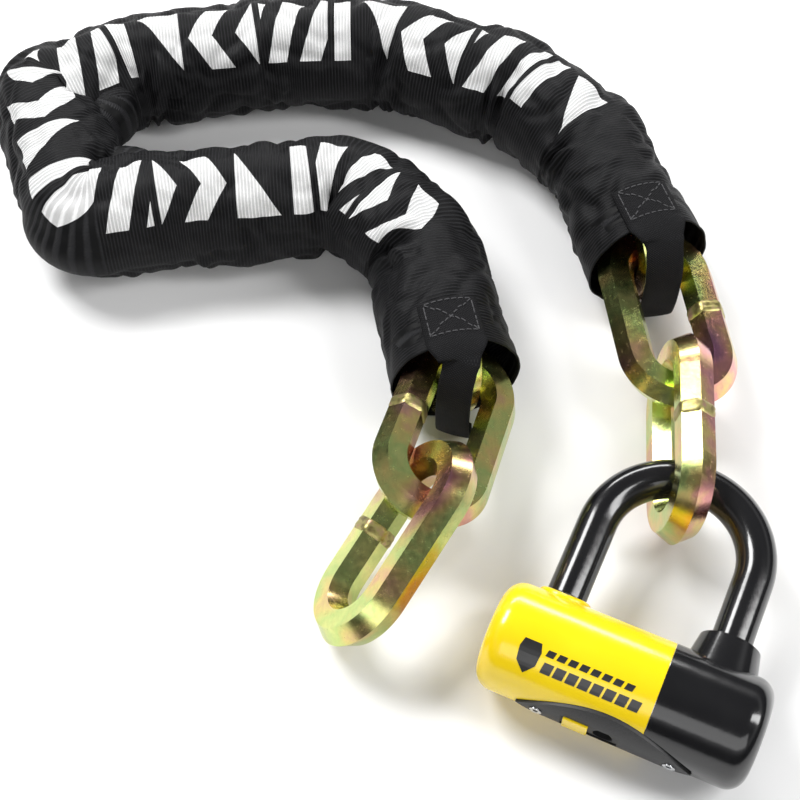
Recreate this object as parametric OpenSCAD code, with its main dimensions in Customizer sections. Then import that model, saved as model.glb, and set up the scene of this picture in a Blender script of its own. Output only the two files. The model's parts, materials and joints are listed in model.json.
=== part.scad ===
// Chain lock: fifteen hex-stock links in a cloth sleeve, closed by a padlock
// with a removable shackle. Millimetres. The whole lock lies on the plane z = 0.

/* [Chain] */
// Stock size of the link bar across its flats
stock_af = 14.5; // [14:0.1:14.6]
// Length of the hole in a link
hole_length = 64; // [62:1:68]
// Width of the hole in a link
hole_width = 20.5; // [20.4:0.1:20.8]
// Play between one link and the bar it turns on
link_play = 0.4; // [0.3:0.1:0.6]
// Position of the first link, the one in the shackle, left to right
chain_x = 144; // [120:1:170]
// Position of the first link, front to back
chain_y = -55; // [-80:1:-30]
// Heading of the first link
chain_heading = 85; // [70:1:95]

/* [Sleeve] */
// Outer radius of the cloth tube
sleeve_radius = 28.2; // [28.2:0.1:29]
// Thickness of the cloth
sleeve_wall = 0.8; // [0.6:0.1:0.8]
// Width of a pull strap where it passes through a link
strap_width = 12; // [10:1:13]
// Thickness of a pull strap
strap_thickness = 1.6; // [1:0.1:2]

/* [Shackle] */
// Distance from the middle of the lock to each leg
leg_x = 33; // [32:0.5:34]
// Diameter of the shackle steel
shackle_diameter = 15; // [14:0.1:15]
// Diameter over the vinyl coating
coating_diameter = 16.4; // [16:0.1:16.8]
// Height of the straight legs above the middle of the body
crown_y = 60; // [56:1:64]

/* [Lock body] */
// Length over the jackets
body_length = 110; // [108:1:114]
// Radius over the jackets
jacket_radius = 22.4; // [22.4:0.1:23]
// Thickness of the jacket vinyl
jacket_wall = 1.9; // [1.7:0.1:1.9]
// Where the yellow jacket meets the black one
jacket_seam = 14; // [8:1:18]
// Heading of the shackle away from the body
lock_heading = 65.5; // [60:0.5:72]

/* [Keyway] */
// Length of the almond-shaped trim
trim_length = 71; // [68:1:74]
// Width of the almond-shaped trim
trim_width = 26; // [24:1:28]
// Travel of the dust cover over the keyhole
cover_travel = 11; // [10:0.5:11]
// Number of detainer discs
disc_count = 4; // [3:1:4]
// Outward travel of each deadbolt
bolt_travel = 5.2; // [4:0.1:5.4]

/* [Hidden] */
link_count = 15;
// one turn per joint, from the lock to the free end
turns = [12, 10, 22, 28, 24, 8, 22, 80, 80, -6, -52, -32, -28, -18];
bar_half = stock_af / cos(30) / 2;
arc_radius = hole_width / 2 + bar_half;
arc_x = (hole_length - hole_width) / 2;
end_bar = arc_x + arc_radius;
hole_reach = hole_length / 2 - bar_half - link_play;
chain_z = sleeve_radius;
first_sleeved = 3;
last_sleeved = 13;

steel_radius = jacket_radius - jacket_wall - 0.2;
steel_length = body_length - 2 * jacket_wall - 0.4;
leg_radius = shackle_diameter / 2;
coating_radius = coating_diameter / 2;
leg_bore = leg_radius + 0.3;
leg_foot = -6;
hook_angle = 8;
hook_radius = leg_x - bar_half - coating_radius - 1.6;
hook = [-hook_radius * sin(hook_angle), crown_y + hook_radius * cos(hook_angle), 0];
lock_pitch = asin((chain_z - jacket_radius) / hook[1]);

chamber_radius = 11.6;
housing_radius = chamber_radius - 0.2;
plug_radius = 8.3;
disc_radius = 6.8;
disc_thickness = 1.2;
spacer_thickness = 0.6;
disc_pitch = disc_thickness + spacer_thickness + 0.2;
disc_front = -14;
bolt_radius = 4.5;
bolt_tip = leg_x - leg_bore - 0.2;
bolt_tail = 12.8;
cam_low = 6;
trim_radius = jacket_radius + 1;
almond_radius = (pow(trim_length, 2) + pow(trim_width, 2)) / (4 * trim_width);
trim_screw_x = 27;

// ---- chain positions ----

function upright(i) = i % 2 == 1;
function heading(i) = i == 1 ? chain_heading : heading(i - 1) + turns[i - 2];
function pitch(i) = i == 14 ? 8 : i == 15 ? -18 : 0;
function roll(i) =
    i == 1 ? -80 :
    i == 2 ? 6 :
    i == 3 ? -88 :
    i == 12 ? -4 :
    i == 13 ? -100 :
    i == 14 ? -22 :
    i == 15 ? 45 :
    upright(i) ? -90 : 0;
function slack(i) = i == 13 ? 2 : i == 14 ? 5 : 0;
function along(i) = [cos(pitch(i)) * cos(heading(i)), cos(pitch(i)) * sin(heading(i)), sin(pitch(i))];
// the bar a joint turns on is the end bar of the upright link, or of link 14 at the free end
function bar_is_first(i) = upright(i) || i == 14;
function reach_out(i) = bar_is_first(i) ? end_bar : hole_reach - slack(i);
function reach_in(i) = bar_is_first(i) ? hole_reach - slack(i) : end_bar;
function middle(i) = i == 1 ? [chain_x, chain_y, chain_z] : hinge(i - 1) + reach_in(i - 1) * along(i);
function hinge(i) = middle(i) + reach_out(i) * along(i);

module place_link(i) {
    translate(middle(i))
        rotate([roll(i), -pitch(i), heading(i)])
            children();
}

// ---- chain ----

module hex_section() {
    circle(r = bar_half, $fn = 6);
}

module link() {
    for (side = [-1, 1]) {
        translate([0, side * arc_radius, 0])
            rotate([90, 0, 90])
                linear_extrude(2 * arc_x, center = true)
                    hex_section();
        translate([side * arc_x, 0, 0])
            rotate([0, 0, -90 * side])
                rotate_extrude(angle = 180, $fn = 64)
                    translate([arc_radius, 0])
                        hex_section();
    }
}

module chain_link(i) {
    color([0.72, 0.66, 0.38])
        place_link(i)
            link();
}

// ---- sleeve ----

module sleeve_segment(i) {
    half = upright(i) ? 13 : 16.5;
    color([0.07, 0.07, 0.08])
        translate(middle(i))
            rotate([0, 90, heading(i)])
                difference() {
                    cylinder(r = sleeve_radius, h = 2 * half, center = true, $fn = 96);
                    cylinder(r = sleeve_radius - sleeve_wall, h = 2 * half + 1, center = true, $fn = 96);
                }
}

// Side view of a pull strap: x runs out of the sleeve from the end bar, y is the height above the bar.
module strap_side() {
    top = sleeve_radius + 0.4;
    bottom = 0.5 - chain_z;
    front = bar_half + 1;
    t = strap_thickness;
    polygon([
        [-30, top], [-8, top], [front, 14], [front, -14], [0, bottom + t], [-5, bottom + t],
        [-5, bottom], [1, bottom], [front + t, -14 - t / 2], [front + t, 14 + t / 2], [-7, top + t], [-30, top + t]
    ]);
}

module strap(at, facing) {
    color([0.09, 0.09, 0.10])
        translate(at)
            rotate([90, 0, facing])
                linear_extrude(strap_width, center = true)
                    strap_side();
}

module strap_lock_end() {
    strap(hinge(2), heading(2) + 180);
}

module strap_free_end() {
    strap(hinge(13), heading(14));
}

// ---- shackle ----

module place_lock() {
    tip = middle(1) - end_bar * along(1);
    translate(tip)
        rotate([lock_pitch, 0, lock_heading - 90])
            translate(-hook)
                children();
}

module leg_pair(radius, from, to) {
    for (side = [-1, 1])
        translate([side * leg_x, from, 0])
            rotate([-90, 0, 0])
                cylinder(r = radius, h = to - from, $fn = 64);
}

module crown(radius) {
    translate([0, crown_y, 0])
        rotate_extrude(angle = 180, $fn = 96)
            translate([leg_x, 0])
                circle(r = radius, $fn = 48);
}

module shackle_bar() {
    color([0.75, 0.76, 0.78])
        place_lock()
            difference() {
                union() {
                    leg_pair(leg_radius, leg_foot, crown_y);
                    crown(leg_radius);
                }
                // the pocket each deadbolt enters
                for (side = [-1, 1])
                    translate([side * (leg_x - 5), 0, 0])
                        rotate([0, 90, 0])
                            cylinder(r = bolt_radius + 0.5, h = 6, center = true, $fn = 48);
            }
}

module shackle_coating() {
    color([0.05, 0.05, 0.06])
        place_lock()
            difference() {
                union() {
                    leg_pair(coating_radius, jacket_radius + 0.8, crown_y);
                    crown(coating_radius);
                }
                leg_pair(leg_radius + 0.05, jacket_radius, crown_y);
                crown(leg_radius + 0.05);
            }
}

// ---- lock body ----

module capsule(radius, length, rounding) {
    rotate([0, 90, 0])
        translate([0, 0, -length / 2])
            rotate_extrude($fn = 96) {
                translate([0, rounding])
                    square([radius, length - 2 * rounding]);
                square([radius - rounding, length]);
                for (y = [rounding, length - rounding])
                    translate([radius - rounding, y])
                        intersection() {
                            circle(r = rounding, $fn = 48);
                            translate([0, -rounding])
                                square([rounding, 2 * rounding]);
                        }
            }
}

module almond(grow) {
    shift = almond_radius - trim_width / 2;
    intersection() {
        translate([0, shift])
            circle(r = almond_radius + grow, $fn = 96);
        translate([0, -shift])
            circle(r = almond_radius + grow, $fn = 96);
    }
}

// An almond-shaped block on the keyway side of the body
module almond_block(grow) {
    rotate([90, 0, 0])
        linear_extrude(40)
            almond(grow);
}

module keyway_cylinder(radius, from, to) {
    translate([0, from, 0])
        rotate([-90, 0, 0])
            cylinder(r = radius, h = to - from, $fn = 64);
}

module lock_body() {
    color([0.62, 0.63, 0.65])
        place_lock()
            difference() {
                capsule(steel_radius, steel_length, 6);
                leg_pair(leg_bore, leg_foot - 2, 30);
                // deadbolt channel
                rotate([0, 90, 0])
                    cylinder(r = bolt_radius + 0.2, h = 2 * (leg_x - 5), center = true, $fn = 48);
                // key cylinder chamber, cut in from the keyway side
                keyway_cylinder(chamber_radius, -30, 3.6);
                // groove for the retaining clip
                keyway_cylinder(12.6, -5.0, -3.6);
                for (side = [-1, 1])
                    translate([side * trim_screw_x, 0, 0])
                        keyway_cylinder(1.7, -30, -12);
            }
}

module jacket_shell() {
    difference() {
        capsule(jacket_radius, body_length, 8);
        capsule(steel_radius + 0.2, steel_length + 0.4, 6);
        leg_pair(coating_radius + 0.4, 0, 60);
        almond_block(0.3);
    }
}

module slab(from, to) {
    translate([from, -60, -60])
        cube([to - from, 120, 120]);
}

module yellow_jacket() {
    color([0.96, 0.80, 0.05])
        place_lock() {
            intersection() {
                jacket_shell();
                slab(-80, jacket_seam);
            }
        }
}

module black_jacket() {
    color([0.05, 0.05, 0.06])
        place_lock()
            difference() {
                union() {
                    intersection() {
                        jacket_shell();
                        slab(jacket_seam + 0.2, 80);
                    }
                    // raised collar round the right leg
                    difference() {
                        translate([leg_x, 12, 0])
                            rotate([-90, 0, 0])
                                cylinder(r1 = 16, r2 = 12.4, h = 19, $fn = 64);
                        capsule(jacket_radius - 0.5, body_length - 1, 8);
                    }
                }
                leg_pair(coating_radius + 0.4, 0, 60);
            }
}

// ---- keyway trim ----

module trim_shell(inner, outer) {
    rotate([0, 90, 0])
        difference() {
            cylinder(r = outer, h = 100, center = true, $fn = 96);
            cylinder(r = inner, h = 101, center = true, $fn = 96);
        }
}

module keyway_trim() {
    color([0.08, 0.08, 0.09])
        place_lock()
            difference() {
                intersection() {
                    trim_shell(steel_radius + 0.2, trim_radius);
                    almond_block(0);
                }
                keyway_cylinder(4, -30, 0);
                // track of the dust cover
                difference() {
                    translate([-cover_travel - 6, -30, -5])
                        cube([cover_travel + 12, 30, 10]);
                    rotate([0, 90, 0])
                        cylinder(r = trim_radius - 0.8, h = 80, center = true, $fn = 96);
                }
                for (side = [-1, 1])
                    translate([side * trim_screw_x, 0, 0])
                        keyway_cylinder(2.7, -30, 0);
            }
}

module trim_screws() {
    color([0.80, 0.81, 0.83])
        place_lock()
            for (side = [-1, 1])
                translate([side * trim_screw_x, 0, 0])
                    difference() {
                        union() {
                            keyway_cylinder(2.5, -trim_radius - 0.4, -steel_radius - 0.6);
                            keyway_cylinder(1.5, -trim_radius + 1, -13);
                        }
                        translate([0, -trim_radius - 1, 0])
                            rotate([-90, 0, 0])
                                cylinder(r = 1.2, h = 2, $fn = 6);
                    }
}

module dust_cover() {
    color([0.96, 0.80, 0.05])
        place_lock()
            intersection() {
                trim_shell(trim_radius - 0.7, trim_radius + 0.8);
                translate([-cover_travel - 5, -30, -4.6])
                    cube([10, 30, 9.2]);
            }
}

// ---- key cylinder ----

module cylinder_housing() {
    color([0.78, 0.66, 0.36])
        place_lock()
            difference() {
                keyway_cylinder(housing_radius, -15.6, -5.2);
                keyway_cylinder(plug_radius + 0.2, -20, 0);
            }
}

module key_plug() {
    color([0.80, 0.70, 0.42])
        place_lock()
            difference() {
                keyway_cylinder(plug_radius, -15.4, -5.4);
                keyway_cylinder(disc_radius + 0.1, disc_front - 0.2, -6.6);
                keyway_cylinder(3.1, -20, -10);
                // slot for the sidebar
                translate([-0.9, disc_front, disc_radius])
                    cube([1.8, 7.2, 4]);
            }
}

module detainer_discs() {
    color([0.70, 0.60, 0.34])
        place_lock()
            for (i = [0 : disc_count - 1])
                difference() {
                    keyway_cylinder(disc_radius, disc_front + i * disc_pitch, disc_front + i * disc_pitch + disc_thickness);
                    intersection() {
                        keyway_cylinder(3.2, -20, 0);
                        translate([-5, -20, -2.2])
                            cube([10, 20, 10]);
                    }
                }
}

module disc_spacers() {
    color([0.66, 0.67, 0.70])
        place_lock()
            for (i = [0 : disc_count - 2]) {
                front = disc_front + i * disc_pitch + disc_thickness + 0.1;
                difference() {
                    keyway_cylinder(disc_radius, front, front + spacer_thickness);
                    keyway_cylinder(3.4, -20, 0);
                }
            }
}

module sidebar() {
    color([0.60, 0.61, 0.63])
        place_lock()
            translate([-0.7, disc_front + 0.2, disc_radius + 0.2])
                cube([1.4, 6.8, 1.1]);
}

module drill_plate() {
    color([0.45, 0.46, 0.48])
        place_lock()
            difference() {
                keyway_cylinder(10.4, -17.2, -15.8);
                keyway_cylinder(3.4, -20, 0);
            }
}

module retaining_clip() {
    color([0.55, 0.56, 0.58])
        place_lock()
            difference() {
                keyway_cylinder(12.4, -4.9, -3.8);
                keyway_cylinder(9, -20, 0);
                translate([-3, -20, -15])
                    cube([6, 20, 12]);
            }
}

// ---- locking works ----

// Extra radius of the cam at an angle: two rising ramps, each with a short way back
function cam_rise(a) = a <= 90 ? a / 90 : a <= 160 ? (160 - a) / 70 : 0;
function cam_point(a) = (cam_low - 0.6 + bolt_travel * cam_rise(a % 180)) * [cos(a), sin(a)];

module drive_cam() {
    color([0.68, 0.69, 0.72])
        place_lock() {
            rotate([90, 0, 0])
                linear_extrude(5, center = true)
                    polygon([for (a = [0 : 10 : 350]) cam_point(a)]);
            keyway_cylinder(4.6, -5.2, 0);
        }
}

module deadbolt(side) {
    color([0.72, 0.73, 0.75])
        place_lock()
            rotate([0, side > 0 ? 0 : 180, 0]) {
                translate([bolt_tail, 0, 0])
                    rotate([0, 90, 0])
                        cylinder(r = bolt_radius, h = bolt_tip - bolt_tail, $fn = 48);
                translate([cam_low, -2.4, -1.2])
                    cube([bolt_tail + 1 - cam_low, 4.8, 2.4]);
            }
}

module deadbolt_left() {
    deadbolt(-1);
}

module deadbolt_right() {
    deadbolt(1);
}

chain_link(1);  // chain_link_01
chain_link(2);  // chain_link_02
chain_link(3);  // chain_link_03
chain_link(4);  // chain_link_04
chain_link(5);  // chain_link_05
chain_link(6);  // chain_link_06
chain_link(7);  // chain_link_07
chain_link(8);  // chain_link_08
chain_link(9);  // chain_link_09
chain_link(10);  // chain_link_10
chain_link(11);  // chain_link_11
chain_link(12);  // chain_link_12
chain_link(13);  // chain_link_13
chain_link(14);  // chain_link_14
chain_link(15);  // chain_link_15
sleeve_segment(3);  // sleeve_segment_03
sleeve_segment(4);  // sleeve_segment_04
sleeve_segment(5);  // sleeve_segment_05
sleeve_segment(6);  // sleeve_segment_06
sleeve_segment(7);  // sleeve_segment_07
sleeve_segment(8);  // sleeve_segment_08
sleeve_segment(9);  // sleeve_segment_09
sleeve_segment(10);  // sleeve_segment_10
sleeve_segment(11);  // sleeve_segment_11
sleeve_segment(12);  // sleeve_segment_12
sleeve_segment(13);  // sleeve_segment_13
strap_lock_end();
strap_free_end();
shackle_bar();
shackle_coating();
lock_body();
yellow_jacket();
black_jacket();
keyway_trim();
trim_screws();
dust_cover();
cylinder_housing();
key_plug();
detainer_discs();
disc_spacers();
sidebar();
drill_plate();
retaining_clip();
drive_cam();
deadbolt_left();
deadbolt_right();
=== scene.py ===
"""Looks of the chain lock: sleeve, straps, link plating, vinyl padlock, studio floor and camera.

Lengths are metres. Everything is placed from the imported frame: the links' middles come from their
boxes, the pivots from the joints.
"""

import json
import math
from collections import namedtuple
from functools import partial

import bmesh
import bpy
import numpy as np
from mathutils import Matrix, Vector, noise
from mathutils.bvhtree import BVHTree


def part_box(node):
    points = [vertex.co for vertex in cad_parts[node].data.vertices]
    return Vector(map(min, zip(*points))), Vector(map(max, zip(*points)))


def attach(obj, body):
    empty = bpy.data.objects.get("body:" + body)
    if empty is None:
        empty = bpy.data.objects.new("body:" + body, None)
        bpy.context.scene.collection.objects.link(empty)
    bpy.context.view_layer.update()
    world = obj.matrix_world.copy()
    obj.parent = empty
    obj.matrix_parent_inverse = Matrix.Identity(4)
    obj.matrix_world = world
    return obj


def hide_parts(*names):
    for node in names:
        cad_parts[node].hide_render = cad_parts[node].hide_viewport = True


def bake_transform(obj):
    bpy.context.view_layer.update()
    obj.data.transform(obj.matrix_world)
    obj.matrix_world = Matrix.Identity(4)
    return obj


MM = 0.001
UP = Vector((0, 0, 1))
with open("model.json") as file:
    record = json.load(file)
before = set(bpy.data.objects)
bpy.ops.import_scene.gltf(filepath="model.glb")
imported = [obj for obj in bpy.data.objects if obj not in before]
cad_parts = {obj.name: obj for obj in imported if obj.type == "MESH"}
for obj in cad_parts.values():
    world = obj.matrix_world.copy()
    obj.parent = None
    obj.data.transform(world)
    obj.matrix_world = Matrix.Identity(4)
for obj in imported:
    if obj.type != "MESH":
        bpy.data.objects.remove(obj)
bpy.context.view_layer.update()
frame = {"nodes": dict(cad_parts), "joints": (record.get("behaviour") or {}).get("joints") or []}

# ---------------------------------------------------------------- sizes

LINKS = 15
SLEEVED = range(3, 14)          # links inside the cloth
LINK_STOCK_MM = 14.5            # across the flats
LINK_HOLE_WIDTH_MM = 20.5

TUBE = 28.0 * MM                # radius of the slack cloth tube
MOUTH = 31 * MM                 # from the end links' middles to the sleeve's mouths
MOUTH_FLARE = 0.8 * MM          # how much wider the hemmed mouths are
MOUTH_SETTLES = 22 * MM         # from a mouth to where the cloth is fully slack
STIFF_UPRIGHT = 13 * MM         # half length that follows one link before the cloth bends
STIFF_FLAT = 16.5 * MM
AROUND = 112                    # cloth vertices round the tube
STEP = 1.5 * MM                 # and along it
LINK_GAP = 0.9 * MM             # cloth stands off the links by this much
LINK_SEARCH = 45 * MM           # links are looked for this far from the sleeve's middle line
CLOTH_LOW = 0.2 * MM            # lowest height of cloth, hem and strap above the floor
HEM_LOW = 0.15 * MM
STRAP_LOW = 0.4 * MM

PINCH = 0.42                    # how far the inside of a full bend is drawn in
FULL_BEND = 1.3                 # radians
FOLD_PER_MM = 0.55              # pace of the folds inside a bend
FOLD_DEPTH_MM = 4.6
FOLD_LIFT_MM = 1.6
# slack lumps: depth, pace along, seed, pace round, lean of the two round directions
LUMPS = [(2.6, 0.034, 0, 1.2, 0.0, 0.0), (1.5, 0.085, 9, 2.0, 0.03, 0.0), (0.7, 0.16, 19, 3.0, 0.0, 0.05)]
CREASES = [(0.035, 40.0), (-0.03, 71.0)]    # lean and seed
CREASE_DEPTH_MM = 1.8
SEAM_HEIGHT = 0.7 * MM
SEAM_COLUMNS = 1.3              # spread of the seam's ridge, in columns

PRINT_CELL_CM = 3.7             # one printed shape
PRINT_FROM_CM = 2 * PRINT_CELL_CM   # the print stops short of both mouths
PRINT_TO_CM = 17 * PRINT_CELL_CM
PRINT_HALF_CM = 1.75            # half width of the printed band
PRINT_SIDE = Vector((0.0, -0.35, 1.0))  # the way the band's middle faces
RIBS_PER_CM = 6.5
WEAVE_PER_CM = 16.0

JACKET_RADIUS_MM = 22.4         # the padlock's cylinder
INK_MM = 0.12                   # the mark stands this proud of it
MARK_ROUND_DEG = 30             # the mark's middle, from straight up towards the keyway side
KEY_TO_ORIGIN_MM = 10           # from the key's pivot to the middle of the body
LEG_OUT_MM = 33                 # from the middle of the body to the left leg
LEG_LIP_MM = 9.9                # radius of the lip round the leg

FLOOR_HALF = 4.0                # metres
FLOOR_DROP = 0.0003             # keeps the floor clear of the part's lowest faces
CAMERA_LOOKS_AT = Vector((0.025, -0.018, 0.0))
CAMERA_RISE_DEG = 57
CAMERA_DISTANCE = 0.664
SENSOR_MM = 36
LENS_PER_SENSOR = 1.82125       # focal length over sensor width


# ---------------------------------------------------------------- where the chain is

def link_name(i):
    return f"chain_link_{i:02d}"


def body_name(i):
    return f"link_{i:02d}"


def middle(i):
    low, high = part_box(link_name(i))
    return (low + high) / 2


def pivots():
    found = {}
    for joint in frame["joints"]:
        name = joint["name"]
        if name.startswith("link_") and "_to_" in name:
            found[int(name[5:7])] = Vector(joint["pos_m"])
    return found


MIDDLE = {i: middle(i) for i in range(1, LINKS + 1)}
PIVOT = pivots()


def along(i):
    """Unit vector from the lock towards the free end, along link i."""
    if i < LINKS:
        return (PIVOT[i] - MIDDLE[i]).normalized()
    return (MIDDLE[i] - PIVOT[i - 1]).normalized()


def upright(i):
    return i % 2 == 1


def stiff(i):
    return STIFF_UPRIGHT if upright(i) else STIFF_FLAT


# ---------------------------------------------------------------- node materials

def new_material(name):
    material = bpy.data.materials.new(name)
    material.use_nodes = True
    tree = material.node_tree
    shader = tree.nodes["Principled BSDF"]
    return material, tree, shader


def add_node(tree, kind, **settings):
    node = tree.nodes.new(kind)
    for key, value in settings.items():
        setattr(node, key, value)
    return node


def math_node(tree, operation, first, second=None):
    """A math node fed by sockets or plain numbers. Returns its output socket."""
    node = add_node(tree, "ShaderNodeMath", operation=operation)
    for index, value in enumerate((first, second)):
        if value is None:
            continue
        if isinstance(value, (int, float)):
            node.inputs[index].default_value = value
        else:
            tree.links.new(value, node.inputs[index])
    return node.outputs[0]


def object_coordinates(tree):
    return add_node(tree, "ShaderNodeTexCoord").outputs["Object"]


def cloth_coordinates(tree):
    """The cloth's own coordinates in cm: the whole vector, along and across."""
    uv = add_node(tree, "ShaderNodeUVMap")
    uv.uv_map = "cloth"
    axes = add_node(tree, "ShaderNodeSeparateXYZ")
    tree.links.new(uv.outputs["UV"], axes.inputs["Vector"])
    return uv.outputs["UV"], axes.outputs["X"], axes.outputs["Y"]


def noise_socket(tree, scale, detail=3.0, roughness=0.5, coordinates=None, stretch=None):
    source = coordinates or object_coordinates(tree)
    if stretch:
        mapping = add_node(tree, "ShaderNodeMapping")
        mapping.inputs["Scale"].default_value = stretch
        tree.links.new(source, mapping.inputs["Vector"])
        source = mapping.outputs["Vector"]
    node = add_node(tree, "ShaderNodeTexNoise")
    node.inputs["Scale"].default_value = scale
    node.inputs["Detail"].default_value = detail
    node.inputs["Roughness"].default_value = roughness
    tree.links.new(source, node.inputs["Vector"])
    return node.outputs["Fac"]


def ramp(tree, source, stops):
    """stops are (position, colour). Returns the colour socket."""
    node = add_node(tree, "ShaderNodeValToRGB")
    band = node.color_ramp
    while len(band.elements) < len(stops):
        band.elements.new(0.5)
    for element, (position, colour) in zip(band.elements, stops):
        element.position = position
        element.color = (*colour, 1.0)
    tree.links.new(source, node.inputs["Fac"])
    return node.outputs["Color"]


def mix_colour(tree, factor, first, second, blend="MIX"):
    node = add_node(tree, "ShaderNodeMix", data_type="RGBA", blend_type=blend)
    sockets = (node.inputs[0], node.inputs[6], node.inputs[7])
    for socket, value in zip(sockets, (factor, first, second)):
        if isinstance(value, (int, float)):
            socket.default_value = value
        elif isinstance(value, tuple):
            socket.default_value = (*value, 1.0)
        else:
            tree.links.new(value, socket)
    return node.outputs[2]


def spread(tree, source, low, high):
    """Maps 0..1 to low..high."""
    node = add_node(tree, "ShaderNodeMapRange")
    node.inputs["To Min"].default_value = low
    node.inputs["To Max"].default_value = high
    tree.links.new(source, node.inputs["Value"])
    return node.outputs["Result"]


def bump(tree, shader, height, strength, distance):
    node = add_node(tree, "ShaderNodeBump")
    node.inputs["Strength"].default_value = strength
    node.inputs["Distance"].default_value = distance
    tree.links.new(height, node.inputs["Height"])
    tree.links.new(node.outputs["Normal"], shader.inputs["Normal"])


def plated_link_material():
    """Yellow zinc: green gold flats, pink and purple clouds, fine scratches."""
    material, tree, shader = new_material("yellow_zinc")
    clouds = noise_socket(tree, 34, detail=5)
    colour = ramp(
        tree,
        clouds,
        [
            (0.28, (0.46, 0.20, 0.34)),
            (0.38, (0.78, 0.36, 0.32)),
            (0.46, (0.82, 0.62, 0.24)),
            (0.56, (0.52, 0.66, 0.24)),
            (0.66, (0.84, 0.80, 0.32)),
            (0.76, (0.82, 0.46, 0.42)),
        ],
    )
    blush = noise_socket(tree, 24, detail=2)
    tint = mix_colour(tree, spread(tree, blush, -0.6, 0.8), colour, (0.66, 0.74, 0.22))
    scratches = noise_socket(tree, 900, detail=2, stretch=(1.0, 0.12, 1.0))
    shade = mix_colour(tree, 0.25, tint, scratches, blend="MULTIPLY")
    tree.links.new(shade, shader.inputs["Base Color"])
    shader.inputs["Metallic"].default_value = 1.0
    grain = noise_socket(tree, 420, detail=4)
    tree.links.new(spread(tree, grain, 0.14, 0.34), shader.inputs["Roughness"])
    bump(tree, shader, grain, 0.12, 0.0002)
    return material


def painted_edge_highlight_material():
    """Painted highlight: the plating along the links' edges is coloured bright, near white, for the light
    the edges catch.
    """
    material, tree, shader = new_material("painted_edge_highlight")
    edge_highlight_noise = noise_socket(tree, 220, detail=4)
    # painted highlight: the near-white end of this ramp brightens the bevels as if they caught the light
    colour = ramp(tree, edge_highlight_noise, [(0.35, (0.62, 0.58, 0.28)), (0.55, (0.93, 0.92, 0.80))])
    tree.links.new(colour, shader.inputs["Base Color"])
    shader.inputs["Metallic"].default_value = 1.0
    tree.links.new(spread(tree, edge_highlight_noise, 0.18, 0.36), shader.inputs["Roughness"])
    bump(tree, shader, edge_highlight_noise, 0.2, 0.0002)
    return material


def weld_material():
    material, tree, shader = new_material("weld_bead")
    clouds = noise_socket(tree, 300, detail=4)
    colour = ramp(
        tree,
        clouds,
        [(0.35, (0.24, 0.19, 0.08)), (0.5, (0.44, 0.40, 0.15)), (0.7, (0.46, 0.28, 0.22))],
    )
    tree.links.new(colour, shader.inputs["Base Color"])
    shader.inputs["Metallic"].default_value = 1.0
    tree.links.new(spread(tree, clouds, 0.3, 0.55), shader.inputs["Roughness"])
    bump(tree, shader, clouds, 0.5, 0.0004)
    return material


def print_ink(tree, along_cm, across_cm):
    """Where the sleeve is printed: slanted bars, chevrons and wedges take turns in a band along it."""
    calc = partial(math_node, tree)
    cell = calc("DIVIDE", along_cm, PRINT_CELL_CM)
    kind = calc("MODULO", calc("FLOOR", cell), 3.0)
    inside = calc("FRACT", cell)
    reach = calc("ABSOLUTE", across_cm)
    started = calc("GREATER_THAN", along_cm, PRINT_FROM_CM)
    running = calc("LESS_THAN", along_cm, PRINT_TO_CM)
    band = calc("MULTIPLY", calc("LESS_THAN", reach, PRINT_HALF_CM), calc("MULTIPLY", started, running))
    # two slanted bars
    lean = calc("ADD", calc("MULTIPLY", inside, 2.0), calc("MULTIPLY", across_cm, 0.16))
    bars = calc("LESS_THAN", calc("FRACT", lean), 0.56)
    # a double chevron
    point = calc("ADD", calc("MULTIPLY", inside, 1.6), calc("MULTIPLY", reach, 0.24))
    chevrons = calc("LESS_THAN", calc("FRACT", point), 0.50)
    # a wedge that widens across the band, with a bar behind it
    slope = calc("MULTIPLY", calc("ADD", across_cm, 1.9), 0.16)
    wedges = calc("MAXIMUM", calc("LESS_THAN", inside, slope), calc("GREATER_THAN", inside, 0.74))
    is_bar = calc("LESS_THAN", kind, 0.5)
    is_wedge = calc("GREATER_THAN", kind, 1.5)
    is_chevron = calc("SUBTRACT", calc("SUBTRACT", 1.0, is_bar), is_wedge)
    shapes = calc("ADD", calc("MULTIPLY", bars, is_bar), calc("MULTIPLY", chevrons, is_chevron))
    shapes = calc("ADD", shapes, calc("MULTIPLY", wedges, is_wedge))
    # a gap between one shape and the next
    gap = calc("LESS_THAN", calc("ABSOLUTE", calc("SUBTRACT", inside, 0.5)), 0.455)
    return calc("MULTIPLY", calc("MULTIPLY", shapes, band), gap)


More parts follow.
